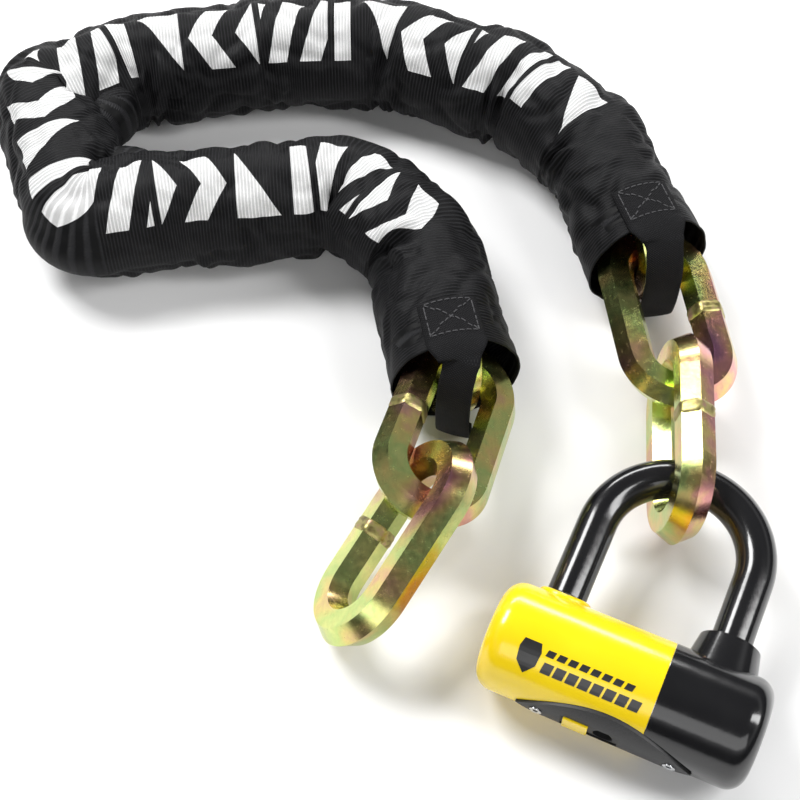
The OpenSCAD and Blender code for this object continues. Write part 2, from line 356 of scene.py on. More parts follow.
def cloth_material(printed):
    """Black ribbed nylon, with or without the print, with sheen and shade painted along the ribs."""
    material, tree, shader = new_material("printed_nylon" if printed else "plain_nylon")
    calc = partial(math_node, tree)
    uv, along_cm, across_cm = cloth_coordinates(tree)

    wobble = noise_socket(tree, 1.2, coordinates=uv)
    ribs = calc("SINE", calc("ADD", calc("MULTIPLY", along_cm, 2 * math.pi * RIBS_PER_CM), wobble))
    weave = calc("SINE", calc("MULTIPLY", across_cm, 2 * math.pi * WEAVE_PER_CM))
    threads = calc("ADD", ribs, calc("MULTIPLY", weave, 0.35))
    thread_level = spread(tree, threads, 0.0, 1.0)

    lint = noise_socket(tree, 40, detail=5, coordinates=uv)
    worn = ramp(tree, lint, [(0.3, (0.55, 0.55, 0.58)), (0.7, (1.0, 1.0, 1.0))])
    # painted sheen and shade: rib crests are coloured lighter, as if they caught the light, and the troughs
    # between them darker
    painted_rib_sheen = ramp(tree, thread_level, [(0.15, (0.0015, 0.0015, 0.002)), (0.75, (0.019, 0.019, 0.021))])
    colour = mix_colour(tree, 1.0, painted_rib_sheen, worn, blend="MULTIPLY")
    if printed:
        ink = print_ink(tree, along_cm, across_cm)
        kept = calc("GREATER_THAN", lint, 0.33)
        # painted shade: the printed ink is coloured darker in the troughs between the ribs
        ink_with_painted_rib_shade = ramp(tree, thread_level, [(0.0, (0.52, 0.52, 0.52)), (0.5, (0.86, 0.86, 0.86))])
        colour = mix_colour(tree, calc("MULTIPLY", ink, kept), colour, ink_with_painted_rib_shade)
    tree.links.new(colour, shader.inputs["Base Color"])
    tree.links.new(spread(tree, lint, 0.42, 0.70), shader.inputs["Roughness"])
    shader.inputs["Specular IOR Level"].default_value = 0.16
    bump(tree, shader, thread_level, 0.7, 0.0005)
    return material


def webbing_material():
    material, tree, shader = new_material("webbing")
    calc = partial(math_node, tree)
    _, along_cm, across_cm = cloth_coordinates(tree)
    warp = calc("SINE", calc("MULTIPLY", across_cm, 2 * math.pi * 7.0))
    weft = calc("SINE", calc("MULTIPLY", along_cm, 2 * math.pi * 10.0))
    weave = spread(tree, calc("MULTIPLY", warp, weft), 0.0, 1.0)
    colour = ramp(tree, weave, [(0.2, (0.006, 0.006, 0.007)), (0.8, (0.020, 0.020, 0.021))])
    tree.links.new(colour, shader.inputs["Base Color"])
    shader.inputs["Roughness"].default_value = 0.8
    shader.inputs["Specular IOR Level"].default_value = 0.16
    bump(tree, shader, weave, 0.8, 0.0005)
    return material


def thread_material():
    material, tree, shader = new_material("thread")
    twist = noise_socket(tree, 3000, detail=1)
    colour = ramp(tree, twist, [(0.3, (0.022, 0.022, 0.024)), (0.7, (0.055, 0.055, 0.058))])
    tree.links.new(colour, shader.inputs["Base Color"])
    shader.inputs["Roughness"].default_value = 0.7
    bump(tree, shader, twist, 0.4, 0.0001)
    return material


def vinyl_material(name, dark, light, roughness):
    """Dipped vinyl: glossy, with a faint orange peel and slight scuffs."""
    material, tree, shader = new_material(name)
    tone = noise_socket(tree, 30, detail=3)
    tree.links.new(ramp(tree, tone, [(0.3, dark), (0.7, light)]), shader.inputs["Base Color"])
    scuffs = noise_socket(tree, 160, detail=5, roughness=0.7)
    tree.links.new(spread(tree, scuffs, roughness * 0.75, roughness * 1.35), shader.inputs["Roughness"])
    shader.inputs["Coat Weight"].default_value = 0.35
    shader.inputs["Coat Roughness"].default_value = roughness * 0.6
    peel = noise_socket(tree, 260, detail=2)
    bump(tree, shader, peel, 0.10, 0.0004)
    return material


def matt_plastic_material():
    material, tree, shader = new_material("trim_matt")
    grain = noise_socket(tree, 1400, detail=3)
    colour = ramp(tree, grain, [(0.3, (0.010, 0.010, 0.011)), (0.7, (0.024, 0.024, 0.025))])
    tree.links.new(colour, shader.inputs["Base Color"])
    tree.links.new(spread(tree, grain, 0.42, 0.6), shader.inputs["Roughness"])
    bump(tree, shader, grain, 0.3, 0.0002)
    return material


def metal_material(name, dark, light, roughness):
    material, tree, shader = new_material(name)
    lines = noise_socket(tree, 500, detail=3, stretch=(1.0, 1.0, 0.1))
    tree.links.new(ramp(tree, lines, [(0.3, dark), (0.7, light)]), shader.inputs["Base Color"])
    shader.inputs["Metallic"].default_value = 1.0
    tree.links.new(spread(tree, lines, roughness * 0.7, roughness * 1.3), shader.inputs["Roughness"])
    bump(tree, shader, lines, 0.12, 0.0002)
    return material


ZINC = plated_link_material()
# painted highlight for the links' bevelled edges
EDGE_HIGHLIGHT = painted_edge_highlight_material()
WELD = weld_material()
PRINTED = cloth_material(True)
PLAIN = cloth_material(False)
WEBBING = webbing_material()
THREAD = thread_material()
BLACK_VINYL = vinyl_material("black_vinyl", (0.006, 0.006, 0.007), (0.011, 0.011, 0.012), 0.16)
YELLOW_VINYL = vinyl_material("yellow_vinyl", (0.90, 0.63, 0.004), (0.95, 0.70, 0.010), 0.20)
MARK_BLACK = vinyl_material("mark_black", (0.010, 0.010, 0.010), (0.020, 0.020, 0.020), 0.35)
MATT = matt_plastic_material()
STEEL = metal_material("steel", (0.50, 0.51, 0.53), (0.66, 0.67, 0.69), 0.28)
BRIGHT = metal_material("bright_zinc", (0.66, 0.67, 0.69), (0.80, 0.81, 0.83), 0.25)
BRASS = metal_material("brass", (0.60, 0.45, 0.20), (0.78, 0.62, 0.32), 0.3)

NODE_MATERIALS = {
    "shackle_bar": STEEL,
    "shackle_coating": BLACK_VINYL,
    "lock_body": STEEL,
    "yellow_jacket": YELLOW_VINYL,
    "black_jacket": BLACK_VINYL,
    "keyway_trim": MATT,
    "trim_screws": BRIGHT,
    "dust_cover": YELLOW_VINYL,
    "cylinder_housing": BRASS,
    "key_plug": BRASS,
    "detainer_discs": BRASS,
    "disc_spacers": STEEL,
    "sidebar": STEEL,
    "drill_plate": STEEL,
    "retaining_clip": STEEL,
    "drive_cam": STEEL,
    "deadbolt_left": STEEL,
    "deadbolt_right": STEEL,
}
LINK_BEVEL_MM = 0.9
PLAIN_BEVEL_MM = 0.25
BEVELS_MM = {
    "yellow_jacket": 0.5,
    "black_jacket": 0.8,
    "keyway_trim": 0.6,
    "dust_cover": 0.5,
    "trim_screws": 0.2,
}


def dress_cad_nodes():
    """A material and softened edges for every CAD node that has no cloth in its place."""
    for name, node in frame["nodes"].items():
        is_link = name.startswith("chain_link")
        material = ZINC if is_link else NODE_MATERIALS.get(name)
        if material is None:
            continue
        node.data.materials.clear()
        node.data.materials.append(material)
        edge = node.modifiers.new("soft_edges", "BEVEL")
        edge.width = (LINK_BEVEL_MM if is_link else BEVELS_MM.get(name, PLAIN_BEVEL_MM)) * MM
        edge.segments = 3
        edge.limit_method = "ANGLE"
        edge.angle_limit = math.radians(35)
        edge.harden_normals = True
        if is_link:
            # the bevel's faces take the second material, the painted edge highlight
            node.data.materials.append(EDGE_HIGHLIGHT)
            edge.material = 1


# ---------------------------------------------------------------- mesh helpers

def make_mesh(name, points, faces, material):
    mesh = bpy.data.meshes.new(name)
    mesh.from_pydata([tuple(p) for p in points], [], faces)
    mesh.materials.append(material)
    mesh.shade_smooth()
    mesh.update()
    piece = bpy.data.objects.new(name, mesh)
    bpy.context.scene.collection.objects.link(piece)
    return piece


def tube_faces(rows, around):
    """Faces of a tube whose points come row by row."""
    faces = []
    for row in range(rows - 1):
        for col in range(around):
            a = row * around + col
            b = row * around + (col + 1) % around
            faces.append((a, b, b + around, a + around))
    return faces


def turn_faces_outwards(piece):
    mesh = bmesh.new()
    mesh.from_mesh(piece.data)
    bmesh.ops.recalc_face_normals(mesh, faces=mesh.faces)
    mesh.to_mesh(piece.data)
    mesh.free()


def set_uv(piece, values):
    """values is one (u, v) per vertex."""
    layer = piece.data.uv_layers.new(name="cloth")
    corner = np.empty(len(piece.data.loops), dtype=np.int32)
    piece.data.loops.foreach_get("vertex_index", corner)
    layer.data.foreach_set("uv", np.asarray(values, np.float32)[corner].ravel())


def soft_noise(x, y, z):
    return noise.noise(Vector((x, y, z)))


def bend_with_mouth(piece, sleeved, bare):
    """Bakes the piece's placement into its mesh. The way out towards the bare link is worked out but not
    used; the cloth does not follow or give way to any link.
    """
    outward = MIDDLE[bare] - MIDDLE[sleeved]
    outward.z = 0
    outward.normalize()
    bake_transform(piece)


# ---------------------------------------------------------------- sleeve path

def hermite(a, ta, b, tb, t):
    """Place and direction at t on a smooth curve from a to b that leaves along ta and arrives along tb."""
    t2, t3 = t * t, t * t * t
    place = a * (2 * t3 - 3 * t2 + 1) + ta * (t3 - 2 * t2 + t) + b * (3 * t2 - 2 * t3) + tb * (t3 - t2)
    slope = a * (6 * t2 - 6 * t) + ta * (3 * t2 - 4 * t + 1) + b * (6 * t - 6 * t2) + tb * (3 * t2 - 2 * t)
    return place, slope.normalized()


def flat_along(i):
    direction = along(i)
    return Vector((direction.x, direction.y, 0)).normalized()


def sleeve_stations():
    """Stations along the sleeve's middle line: (place, direction, bend, link number it belongs to).
    bend is how sharply the cloth turns there, and its sign says which side is the inside."""
    out = []

    def straight(i, start, end):
        count = max(2, round(abs(end - start) / STEP))
        for k in range(count):
            reached = start + (end - start) * k / count
            out.append((MIDDLE[i] + flat_along(i) * reached, flat_along(i), 0.0, i))

    first, last = SLEEVED[0], SLEEVED[-1]
    straight(first, -MOUTH, 0)
    for i in SLEEVED[:-1]:
        straight(i, 0, stiff(i))
        a = MIDDLE[i] + flat_along(i) * stiff(i)
        b = MIDDLE[i + 1] - flat_along(i + 1) * stiff(i + 1)
        turn = flat_along(i).to_2d().angle_signed(flat_along(i + 1).to_2d())
        reach = (b - a).length
        count = round(reach * 1.15 / STEP)
        for k in range(count):
            t = k / count
            place, slope = hermite(a, flat_along(i) * reach, b, flat_along(i + 1) * reach, t)
            out.append((place, slope, -turn * math.sin(math.pi * t) ** 2, i))
        straight(i + 1, -stiff(i + 1), 0)
    straight(last, 0, MOUTH)
    out.append((MIDDLE[last] + flat_along(last) * MOUTH, flat_along(last), 0.0, last))
    return out


def link_trees():
    trees = []
    for i in SLEEVED:
        mesh = frame["nodes"][link_name(i)].data
        points = [v.co.copy() for v in mesh.vertices]
        trees.append((i, BVHTree.FromPolygons(points, [tuple(p.vertices) for p in mesh.polygons])))
    return trees


def reach_of_links(trees, owner, place, direction):
    """How far the links reach from the sleeve's middle line in one direction."""
    start = place + direction * LINK_SEARCH
    reach = 0.0
    for i, tree in trees:
        if abs(i - owner) > 2:
            continue
        _, _, _, distance = tree.ray_cast(start, -direction, LINK_SEARCH)
        if distance is not None:
            reach = max(reach, LINK_SEARCH - distance)
    return reach


def widest(grid, reach):
    """Every cell takes the largest value within reach cells of it."""
    out = grid.copy()
    for around in range(-reach, reach + 1):
        turned = np.roll(grid, around, 1)
        out = np.maximum(out, turned)
        for step in range(1, reach + 1):
            out[step:] = np.maximum(out[step:], turned[:-step])
            out[:-step] = np.maximum(out[:-step], turned[step:])
    return out


def blur(grid, along_times, around_times):
    """Softens a grid of radii: rows run along the sleeve, columns go round it."""
    for _ in range(around_times):
        grid = 0.25 * np.roll(grid, 1, 1) + 0.5 * grid + 0.25 * np.roll(grid, -1, 1)
    for _ in range(along_times):
        inner = 0.25 * grid[:-2] + 0.5 * grid[1:-1] + 0.25 * grid[2:]
        grid = np.vstack([grid[:1], inner, grid[-1:]])
    return grid


def slack_radius(s, angle, bend):
    """Radius of the cloth s mm along the sleeve, as it would be with nothing inside."""
    inner = max(0.0, math.cos(angle) * (1 if bend > 0 else -1))
    sharp = min(1.0, abs(bend) / FULL_BEND)
    radius = TUBE * (1 - PINCH * sharp * inner ** 1.5)
    # folds gather on the inside of a bend and die out towards the outside
    gather = min(1.0, abs(bend) * 2.2) * inner ** 0.9
    wander = 7 * soft_noise(s * 0.05, angle * 0.7, 3.0)
    fold = math.sin(s * FOLD_PER_MM + wander + math.sin(angle) * 1.5)
    radius += gather * (FOLD_DEPTH_MM * fold + FOLD_LIFT_MM) * MM
    # slack lumps and creases wander along the tube
    u, v = math.cos(angle), math.sin(angle)
    for depth, pace, seed, round_pace, lean_u, lean_v in LUMPS:
        lump = soft_noise(s * pace + seed, u * round_pace + s * lean_u, v * round_pace + s * lean_v)
        radius += depth * MM * lump
    for lean, seed in CREASES:
        crease = abs(soft_noise(s * 0.04 + seed, u * 1.3 + s * lean, v * 1.6))
        radius -= CREASE_DEPTH_MM * MM * max(0.0, 1 - crease * 6)
    return radius


def cloth_radii(stations, lengths):
    """Radius of the cloth at every station and angle, pushed off the links inside it."""
    trees = link_trees()
    base = np.zeros((len(stations), AROUND))
    needed = np.zeros_like(base)
    for row, (place, direction, bend, owner) in enumerate(stations):
        left = UP.cross(direction).normalized()
        from_mouth = min(lengths[row], lengths[-1] - lengths[row])
        slack = min(1.0, from_mouth / MOUTH_SETTLES) ** 1.5
        for col in range(AROUND):
            angle = 2 * math.pi * col / AROUND
            side = left * math.cos(angle) + UP * math.sin(angle)
            radius = slack_radius(lengths[row] / MM, angle, bend)
            # the hems hold both mouths round and a little wider than the rest
            base[row, col] = TUBE + MOUTH_FLARE * (1 - slack) + (radius - TUBE) * (0.2 + 0.8 * slack)
            needed[row, col] = reach_of_links(trees, owner, place, side) + LINK_GAP
    needed = blur(widest(needed, 4), 8, 6)
    return np.maximum(blur(np.maximum(base, needed), 1, 1), needed)


def cloth_grid():
    """Points, coordinates in cm and stations of the whole sleeve before it is cut into pieces."""
    stations = sleeve_stations()
    lengths = [0.0]
    for before, after in zip(stations, stations[1:]):
        lengths.append(lengths[-1] + (after[0] - before[0]).length)
    radii = cloth_radii(stations, lengths)
    points = np.zeros((len(stations), AROUND, 3))
    coordinates = np.zeros((len(stations), AROUND + 1, 2))
    for row, (place, direction, _, _) in enumerate(stations):
        left = UP.cross(direction).normalized()
        centre = math.atan2(PRINT_SIDE.dot(UP), PRINT_SIDE.dot(left))
        for col in range(AROUND + 1):
            # the seam column is at the far side from the print
            angle = centre + math.pi + 2 * math.pi * col / AROUND
            across = (col / AROUND - 0.5) * 2 * math.pi * TUBE
            coordinates[row, col] = (lengths[row] * 100, across * 100)
            if col == AROUND:
                continue
            where = angle / (2 * math.pi) * AROUND
            low = math.floor(where)
            share = where - low
            radius = radii[row, low % AROUND] * (1 - share) + radii[row, (low + 1) % AROUND] * share
            from_seam = min(col, AROUND - col)
            radius += SEAM_HEIGHT * math.exp(-(from_seam / SEAM_COLUMNS) ** 2)
            point = place + (left * math.cos(angle) + UP * math.sin(angle)) * radius
            point.z = max(point.z, CLOTH_LOW)
            points[row, col] = point
    return points, coordinates, stations


def grid_normals(points):
    """Outward normals, worked out on the whole sleeve so that no cut shows as a shading line."""
    around = np.roll(points, -1, 1) - np.roll(points, 1, 1)
    along_rows = np.gradient(points, axis=0)
    normals = np.cross(along_rows, around)
    normals /= np.linalg.norm(normals, axis=2, keepdims=True) + 1e-12
    middle_line = points.mean(axis=1, keepdims=True)
    if ((points - middle_line) * normals).sum() < 0:
        normals = -normals
    return normals


def cloth_piece(name, points, coordinates, normals, rows, material):
    """One length of the tube, cut out of the whole grid so that its ends meet its neighbours exactly."""
    first, last = rows
    count = last - first + 1
    wide = AROUND + 1
    spots, uvs, around_normals = [], [], []
    for row in range(first, last + 1):
        for col in range(wide):
            spots.append(points[row, col % AROUND])
            around_normals.append(normals[row, col % AROUND])
            uvs.append(coordinates[row, col])
    faces = []
    for row in range(count - 1):
        for col in range(AROUND):
            a = row * wide + col
            faces.append((a, a + 1, a + wide + 1, a + wide))
    piece = make_mesh(name, spots, faces, material)
    set_uv(piece, uvs)
    # the faces point outwards
    probe = piece.data.polygons[0]
    if probe.normal.dot(Vector(around_normals[0])) < 0:
        piece.data.flip_normals()
    piece.data.normals_split_custom_set_from_vertices([tuple(n) for n in around_normals])
    return piece


def build_sleeve():
    """One cloth cut at the links' middles. Each piece reaches from one link's middle to the next and holds
    the turn between them. Returns the whole grid.
    """
    points, coordinates, stations = cloth_grid()
    normals = grid_normals(points)
    # a cut at every link's middle
    cuts = {}
    for i in SLEEVED:
        distance = [(station[0] - MIDDLE[i]).length for station in stations]
        cuts[i] = int(np.argmin(distance))

    def declare(piece, rows, *nodes):
        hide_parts(*nodes)

    first, last = SLEEVED[0], SLEEVED[-1]
    rows = (0, cuts[first])
    piece = cloth_piece("sleeve_mouth_lock_end", points, coordinates, normals, rows, PRINTED)
    bend_with_mouth(piece, first, first - 1)
    declare(piece, rows, f"sleeve_segment_{first:02d}")
    for i in range(first, last):
        rows = (cuts[i], cuts[i + 1])
        piece = cloth_piece(f"sleeve_length_{i:02d}", points, coordinates, normals, rows, PRINTED)
        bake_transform(piece)
        declare(piece, rows, f"sleeve_segment_{i:02d}", f"sleeve_segment_{i + 1:02d}")
    rows = (cuts[last], len(stations) - 1)
    piece = cloth_piece("sleeve_mouth_free_end", points, coordinates, normals, rows, PRINTED)
    bend_with_mouth(piece, last, last + 1)
    declare(piece, rows, f"sleeve_segment_{last:02d}")
    return points


# the hem's cross-section in mm: how far out of the mouth, and how far above the cloth
HEM_PROFILE_MM = [
    (0.0, 0.3), (0.6, 0.35), (1.0, -0.05), (0.8, -0.45), (-1.0, -0.6), (-6.0, -0.8), (-16.0, -1.0),
]
HEM_GIRTH_CM = 17.6


def mouth_lining(name, ring, inward, sleeved, bare):
    """The turned-in hem: a rolled edge and a lining that goes back inside the mouth."""
    centre = ring.mean(axis=0)
    spots, uvs = [], []
    for row, (out, rise) in enumerate(HEM_PROFILE_MM):
        for col in range(AROUND):
            spoke = ring[col] - centre
            reach = np.linalg.norm(spoke)
            place = centre + spoke / reach * (reach + rise * MM) - np.array(inward) * out * MM
            place[2] = max(place[2], HEM_LOW)
            spots.append(place)
            uvs.append((row * 0.2, col / AROUND * HEM_GIRTH_CM))
    piece = make_mesh(name, spots, tube_faces(len(HEM_PROFILE_MM), AROUND), PLAIN)
    set_uv(piece, uvs)
    bend_with_mouth(piece, sleeved, bare)


STITCH_MM = (2.2, 0.55, 0.35)   # length, width and height
# a stitch dips into the cloth at both ends: share of its length, share of its height
STITCH_ARCH = ((-0.5, 0.0), (-0.32, 1.0), (0.32, 1.0), (0.5, 0.0))


def stitch_dashes(name, places, sleeved, bare):
    """A run of stitches. places are (point, direction along the stitch, outward)."""
    length, width, height = (x * MM for x in STITCH_MM)
    spots, faces = [], []
    for point, run, out in places:
        run = Vector(run).normalized()
        out = Vector(out).normalized()
        across = out.cross(run).normalized()
        base = len(spots)
        for share, rise in STITCH_ARCH:
            for side in (-0.5, 0.0, 0.5):
                lift = rise * height * (1.0 if side == 0.0 else 0.45)
                spots.append(Vector(point) + run * length * share + across * width * side + out * lift)
        for k in range(3):
            for j in range(2):
                a = base + k * 3 + j
                faces.append((a, a + 1, a + 4, a + 3))
    piece = make_mesh(name, spots, faces, THREAD)
    bend_with_mouth(piece, sleeved, bare)


# ---------------------------------------------------------------- pull straps

def catmull(points, steps):
    """A smooth curve through the points."""
    out = []
    padded = [points[0] * 2 - points[1], *points, points[-1] * 2 - points[-2]]
    for a, b, c, d in zip(padded, padded[1:], padded[2:], padded[3:]):
        for k in range(steps):
            t = k / steps
            first = 2 * b
            second = (c - a) * t
            third = (2 * a - 5 * b + 4 * c - d) * t * t
            fourth = (3 * b - a - 3 * c + d) * t ** 3
            out.append(0.5 * (first + second + third + fourth))
    out.append(points[-1])
    return out


# the band's middle line from the joint with the bare link: how far out from the sleeve, how far up
STRAP_PATH_MM = [
    (-31, 29.6), (-22, 29.6), (-12, 29.5), (-5, 28.4), (2, 25.0), (7.5, 18.5),
    (10.6, 9), (10.8, -6), (8.5, -17), (3, -24.2), (-4, -26.3),
]
STRAP_STEPS = 8                 # places between two of these points
STRAP_ACROSS = 14               # faces across the band
STRAP_HALF_THICK = 0.65 * MM
STRAP_SOFT_EDGE = 0.15 * MM
STRAP_WIDE_MM = 26              # where it lies on the sleeve
STRAP_NARROW_FROM_MM = 22       # travelled along the band when it starts to bunch
STRAP_NARROW_OVER_MM = 14
STRAP_LEAVES_FROM_MM = 20       # and when it starts to leave the sleeve
STRAP_LEAVES_OVER_MM = 8
STITCH_BOX_MM = (1.5, 18.0, 10.5)   # start and end along the band, and half width
STITCH_PITCH_MM = 3.0

StrapRow = namedtuple("StrapRow", "place across out half on_sleeve travelled")


def share_done(value, start, over):
    """0 up to start, then rising to 1."""
    return min(1.0, max(0.0, (value - start) / over))


def strap_rows(pivot, towards_sleeve, outward, narrow):
    """Cross-sections of the band, from its sewn end to its lower end."""
    centre = []
    for run, rise in STRAP_PATH_MM:
        way = towards_sleeve * (-run * MM) if run < 0 else outward * (run * MM)
        centre.append(pivot + way + UP * (rise * MM))
    path = catmull(centre, STRAP_STEPS)
    travelled = 0.0
    rows = []
    for k, place in enumerate(path):
        before, after = path[max(0, k - 1)], path[min(len(path) - 1, k + 1)]
        direction = (after - before).normalized()
        if k:
            travelled += (place - path[k - 1]).length
        over_sleeve = (place - pivot).dot(outward) < 0 and place.z > pivot.z
        lead = -towards_sleeve if over_sleeve else outward
        across = UP.cross(lead).normalized()
        out = direction.cross(across)
        if out.dot(UP * 0.5 + outward) < 0:
            out = -out
        share = share_done(travelled / MM, STRAP_NARROW_FROM_MM, STRAP_NARROW_OVER_MM)
        half = (STRAP_WIDE_MM + (narrow - STRAP_WIDE_MM) * share * share * (3 - 2 * share)) * MM / 2
        on_sleeve = 1 - share_done(travelled / MM, STRAP_LEAVES_FROM_MM, STRAP_LEAVES_OVER_MM)
        rows.append(StrapRow(place, across, out, half, on_sleeve, travelled))
    return rows


def strap_points(rows):
    """Points and coordinates of the band's upper layer, then of its lower one."""
    spots, uvs = [], []
    for layer in (1, -1):
        for row in rows:
            for j in range(STRAP_ACROSS + 1):
                y = (j / STRAP_ACROSS * 2 - 1) * row.half
                drop = y * y / (2 * TUBE) * row.on_sleeve
                edge = STRAP_SOFT_EDGE if j in (0, STRAP_ACROSS) else 0.0
                cup = 0.5 * MM * (1 - row.on_sleeve) * (1 - (y / row.half) ** 2)
                wave = 0.25 * MM * soft_noise(row.travelled / MM * 0.12, y / MM * 0.1, 7.0)
                lift = (STRAP_HALF_THICK - edge) * layer + cup + wave * (1 - row.on_sleeve * 0.5)
                point = row.place + row.across * y + row.out * lift - UP * drop
                point.z = max(point.z, STRAP_LOW)
                spots.append(point)
                uvs.append((row.travelled * 100, y * 100))
    return spots, uvs


def strap_faces(count):
    """Both layers of a band of count rows, its two edges and its two ends."""
    wide = STRAP_ACROSS + 1
    layer = count * wide
    faces = []
    for k in range(count - 1):
        for j in range(STRAP_ACROSS):
            a = k * wide + j
            b = a + layer
            faces.append((a, a + 1, a + wide + 1, a + wide))
            faces.append((b, b + wide, b + wide + 1, b + 1))
    for k in range(count - 1):
        for j in (0, STRAP_ACROSS):
            a = k * wide + j
            quad = (a, a + wide, a + wide + layer, a + layer)
            faces.append(quad if j == 0 else quad[::-1])
    for k in (0, count - 1):
        for j in range(STRAP_ACROSS):
            a = k * wide + j
            quad = (a, a + 1, a + 1 + layer, a + layer)
            faces.append(quad[::-1] if k == 0 else quad)
    return faces


def strap_stitches(rows):
    """A stitched box with a cross in it holds the end of the band to the sleeve."""
    low, high, side = STITCH_BOX_MM

    def on_band(along_mm, across_mm):
        row = min(rows, key=lambda r: abs(r.travelled / MM - along_mm))
        y = across_mm * MM
        return row.place + row.across * y + row.out * 0.72 * MM - UP * (y * y / (2 * TUBE)), row.out

    corners = [(low, -side), (high, -side), (high, side), (low, side)]
    edges = list(zip(corners, corners[1:] + corners[:1]))
    cross = [(corners[0], corners[2]), (corners[1], corners[3])]
    places = []
    for (a0, c0), (a1, c1) in edges + cross:
        dashes = max(2, round(math.hypot(a1 - a0, c1 - c0) / STITCH_PITCH_MM))
        for n in range(dashes):
            t = (n + 0.5) / dashes
            later = min(1, t + 0.2)
            point, out = on_band(a0 + (a1 - a0) * t, c0 + (c1 - c0) * t)
            ahead, _ = on_band(a0 + (a1 - a0) * later, c0 + (c1 - c0) * later)
            if (ahead - point).length > 1e-6:
                places.append((point, ahead - point, out))
    return places


def build_strap(name, pivot, towards_sleeve, outward, narrow, sleeved, bare, node):
    """A webbing band from the sleeve's top, over the mouth, down through the bare link and back below."""
    rows = strap_rows(pivot, towards_sleeve, outward, narrow)
    spots, uvs = strap_points(rows)
    piece = make_mesh(name, spots, strap_faces(len(rows)), WEBBING)
    set_uv(piece, uvs)
    bend_with_mouth(piece, sleeved, bare)
    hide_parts(node)
    stitch_dashes(f"{name}_stitches", strap_stitches(rows), sleeved, bare)


def build_straps():
    """The lock end's band is bunched to 16.5 mm through its link, the free end's to 15 mm."""
    first, last = SLEEVED[0], SLEEVED[-1]
    build_strap("webbing_strap_lock_end", PIVOT[first - 1], flat_along(first), -flat_along(first - 1),
                16.5, first, first - 1, "strap_lock_end")
    build_strap("webbing_strap_free_end", PIVOT[last], -flat_along(last), flat_along(last + 1),
                15, last, last + 1, "strap_free_end")


# ---------------------------------------------------------------- weld beads

def link_frame(i):
    """Along, across and normal of a link, read from the shape of its mesh."""
    points = np.array([v.co for v in frame["nodes"][link_name(i)].data.vertices]) - np.array(MIDDLE[i])
    forward = np.array(along(i))
    flat = points - np.outer(points @ forward, forward)
    _, _, axes = np.linalg.svd(flat, full_matrices=False)
    across = axes[0] - forward * (axes[0] @ forward)
    across /= np.linalg.norm(across)
    return Vector(forward), Vector(across), Vector(np.cross(forward, across))


# the bead's cross-section in mm: how far along the bar, and how far above it
WELD_PROFILE_MM = [
    (-3.4, -0.15), (-2.6, 0.25), (-1.5, 0.62), (-0.5, 0.48),
    (0.5, 0.5), (1.5, 0.66), (2.6, 0.28), (3.4, -0.15),
]
WELD_AROUND = 48
WELD_SOFT_CORNER = 0.965        # the hexagon's corners are cut at this share of their radius


def build_weld(i):
    """A raised, slightly lumpy ring round the bar at the middle of one long side."""
    forward, across, normal = link_frame(i)
    half_bar = LINK_STOCK_MM * MM / math.cos(math.radians(30)) / 2
    side = 1 if i % 4 < 2 else -1
    centre = MIDDLE[i] + across * side * (LINK_HOLE_WIDTH_MM * MM / 2 + half_bar)
    spots = []
    for run, rise in WELD_PROFILE_MM:
        for col in range(WELD_AROUND):
            angle = 2 * math.pi * col / WELD_AROUND
            u, v = math.cos(angle), math.sin(angle)
            corner = (angle % (math.pi / 3)) - math.pi / 6
            radius = half_bar * math.cos(math.pi / 6) / math.cos(corner)
            radius = min(radius, half_bar * WELD_SOFT_CORNER)
            lump = 0.18 * soft_noise(i * 7.0 + run * 0.8, u * 2.2, v * 2.2)
            reach = radius + (rise + lump * (rise > 0)) * MM
            wander = 0.5 * soft_noise(i * 3.0, u, v) * MM
            spots.append(centre + forward * (run * MM + wander) + (across * u + normal * v) * reach)
    piece = make_mesh(f"weld_bead_{i:02d}", spots, tube_faces(len(WELD_PROFILE_MM), WELD_AROUND), WELD)
    turn_faces_outwards(piece)
    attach(piece, body_name(i))


# ---------------------------------------------------------------- padlock trim

def lock_axes():
    """Origin and axes of the padlock: x along the body, y towards the crown, z up from it."""
    joints = {j["name"]: j for j in frame["joints"]}
    x = Vector(joints["dust_cover_slide"]["axis"])
    y = Vector(joints["key_turn"]["axis"])
    origin = Vector(joints["key_turn"]["pos_m"]) + y * KEY_TO_ORIGIN_MM * MM
    return origin, (x, y, x.cross(y))


def on_jacket(origin, axes, along_mm, around_deg, radius_mm):
    """A point on the body's cylinder. around_deg is measured from straight up towards the keyway side."""
    x, y, z = axes
    angle = math.radians(around_deg)
    return origin + x * along_mm * MM + (z * math.cos(angle) - y * math.sin(angle)) * radius_mm * MM


def jacket_patch(name, outlines, material, origin, axes):
    """Thin printed shapes that lie on the cylinder. Outlines are in mm: x along, y round the body."""
    to_deg = 180 / math.pi / JACKET_RADIUS_MM
    mesh = bmesh.new()
    for outline in outlines:
        ring = [mesh.verts.new((px, py, 0)) for px, py in outline]
        mesh.faces.new(ring)
    bmesh.ops.triangulate(mesh, faces=mesh.faces[:])
    bmesh.ops.subdivide_edges(mesh, edges=mesh.edges[:], cuts=2, use_grid_fill=True)
    for vertex in mesh.verts:
        px, py, _ = vertex.co
        vertex.co = on_jacket(origin, axes, px, py * to_deg, JACKET_RADIUS_MM + INK_MM)
    bmesh.ops.recalc_face_normals(mesh, faces=mesh.faces[:])
    for face in mesh.faces:
        centre = face.calc_center_median()
        spoke = centre - origin
        spoke -= axes[0] * spoke.dot(axes[0])
        if face.normal.dot(spoke) < 0:
            face.normal_flip()
    data = bpy.data.meshes.new(name)
    mesh.to_mesh(data)
    mesh.free()
    data.materials.append(material)
    piece = bpy.data.objects.new(name, data)
    bpy.context.scene.collection.objects.link(piece)
    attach(piece, "lock_body")


